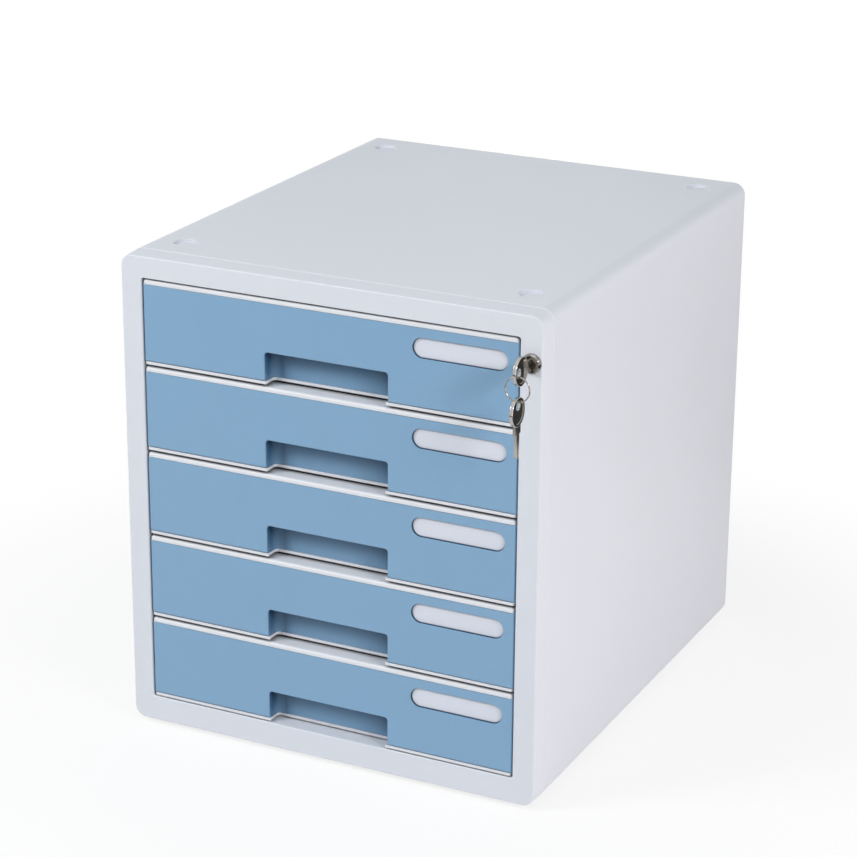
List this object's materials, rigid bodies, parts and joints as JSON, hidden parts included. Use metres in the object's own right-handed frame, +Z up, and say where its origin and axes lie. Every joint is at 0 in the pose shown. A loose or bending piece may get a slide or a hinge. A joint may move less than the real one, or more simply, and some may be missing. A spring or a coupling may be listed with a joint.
{
  "type": "filing cabinet",
  "caption": "Desktop filing cabinet: pale plastic casing with lockable sliding drawers, blue fronts with finger notches and label cards, and a keyed lock in the right stile.",
  "frame": {"origin": "bottom centre of the whole part's box, on the surface that the feet stand on", "axes": "+X to the right as seen from the front, +Y from the drawer fronts to the back, +Z up"},
  "size_m": [0.2908, 0.369, 0.3225],
  "materials": {
    "casing_plastic": "fine moulded texture",
    "tray_plastic": "smooth moulded",
    "runner_plastic": "smooth moulded",
    "blue_plastic": "satin moulded",
    "label_card": "smooth card",
    "lock_chrome": "bright plated",
    "lock_core": "satin plated",
    "key_nickel": "nickel plated",
    "ring_steel": "polished wire",
    "bar_steel": "zinc plated",
    "spring_steel": "zinc plated",
    "screw_steel": "zinc plated",
    "rubber_feet": "matt"
  },
  "bodies": {
    "cabinet": {"outer_sleeve": "casing_plastic", "front_bezel": "casing_plastic", "back_panel": "casing_plastic", "left_runner": "runner_plastic", "right_runner": "runner_plastic", "feet": "rubber_feet", "runner_screws": "screw_steel", "back_screws": "screw_steel", "lock_barrel": "lock_chrome", "lock_clip": "spring_steel", "lock_bar_guides": "runner_plastic", "closing_bumpers": "rubber_feet"},
    "lock_plug": {"lock_plug": "lock_core", "lock_crank": "spring_steel", "crank_screw": "screw_steel"},
    "lock_bar": {"lock_bar": "bar_steel"},
    "key": {"key": "key_nickel"},
    "key_ring": {"key_ring": "ring_steel"},
    "spare_key": {"spare_key": "key_nickel"},
    "drawer_1": {"drawer_1_front_frame": "tray_plastic", "drawer_1_tray": "tray_plastic", "drawer_1_fascia": "blue_plastic", "drawer_1_label": "label_card", "drawer_1_catch": "runner_plastic"},
    "drawer_2": {"drawer_2_front_frame": "tray_plastic", "drawer_2_tray": "tray_plastic", "drawer_2_fascia": "blue_plastic", "drawer_2_label": "label_card", "drawer_2_catch": "runner_plastic"},
    "drawer_3": {"drawer_3_front_frame": "tray_plastic", "drawer_3_tray": "tray_plastic", "drawer_3_fascia": "blue_plastic", "drawer_3_label": "label_card", "drawer_3_catch": "runner_plastic"},
    "drawer_4": {"drawer_4_front_frame": "tray_plastic", "drawer_4_tray": "tray_plastic", "drawer_4_fascia": "blue_plastic", "drawer_4_label": "label_card", "drawer_4_catch": "runner_plastic"},
    "drawer_5": {"drawer_5_front_frame": "tray_plastic", "drawer_5_tray": "tray_plastic", "drawer_5_fascia": "blue_plastic", "drawer_5_label": "label_card", "drawer_5_catch": "runner_plastic"}
  },
  "joints": [
    {"name": "drawer_1_slide", "type": "slide", "parent": "cabinet", "child": "drawer_1", "axis": [0, -1, 0], "range_m": [0, 0.235]},
    {"name": "drawer_2_slide", "type": "slide", "parent": "cabinet", "child": "drawer_2", "axis": [0, -1, 0], "range_m": [0, 0.235]},
    {"name": "drawer_3_slide", "type": "slide", "parent": "cabinet", "child": "drawer_3", "axis": [0, -1, 0], "range_m": [0, 0.235]},
    {"name": "drawer_4_slide", "type": "slide", "parent": "cabinet", "child": "drawer_4", "axis": [0, -1, 0], "range_m": [0, 0.235]},
    {"name": "drawer_5_slide", "type": "slide", "parent": "cabinet", "child": "drawer_5", "axis": [0, -1, 0], "range_m": [0, 0.235]},
    {"name": "lock_turn", "type": "hinge", "parent": "cabinet", "child": "lock_plug", "pos_m": [0.1375, -0.1555, 0.2927], "axis": [0, 1, 0], "range_deg": [0, 90]},
    {"name": "lock_bar_slide", "type": "slide", "parent": "cabinet", "child": "lock_bar", "axis": [0, 0, 1], "range_m": [0, 0.00636]},
    {"name": "key_slide", "type": "slide", "parent": "lock_plug", "child": "key", "axis": [0, -1, 0], "range_m": [0, 0.0175]},
    {"name": "key_ring_swing", "type": "hinge", "parent": "key", "child": "key_ring", "pos_m": [0.1375, -0.1755, 0.28712], "axis": [0, 1, 0], "range_deg": [-90, 0]},
    {"name": "spare_key_swing", "type": "hinge", "parent": "key_ring", "child": "spare_key", "pos_m": [0.1375, -0.1755, 0.2749], "axis": [1, 0, 0], "range_deg": [-30, 30]}
  ],
  "couplings": [
    {"joint": "lock_turn", "follows": "lock_bar_slide", "rad_per_m": 246.83},
    {"joint": "key_ring_swing", "follows": "lock_bar_slide", "rad_per_m": -246.83}
  ]
}
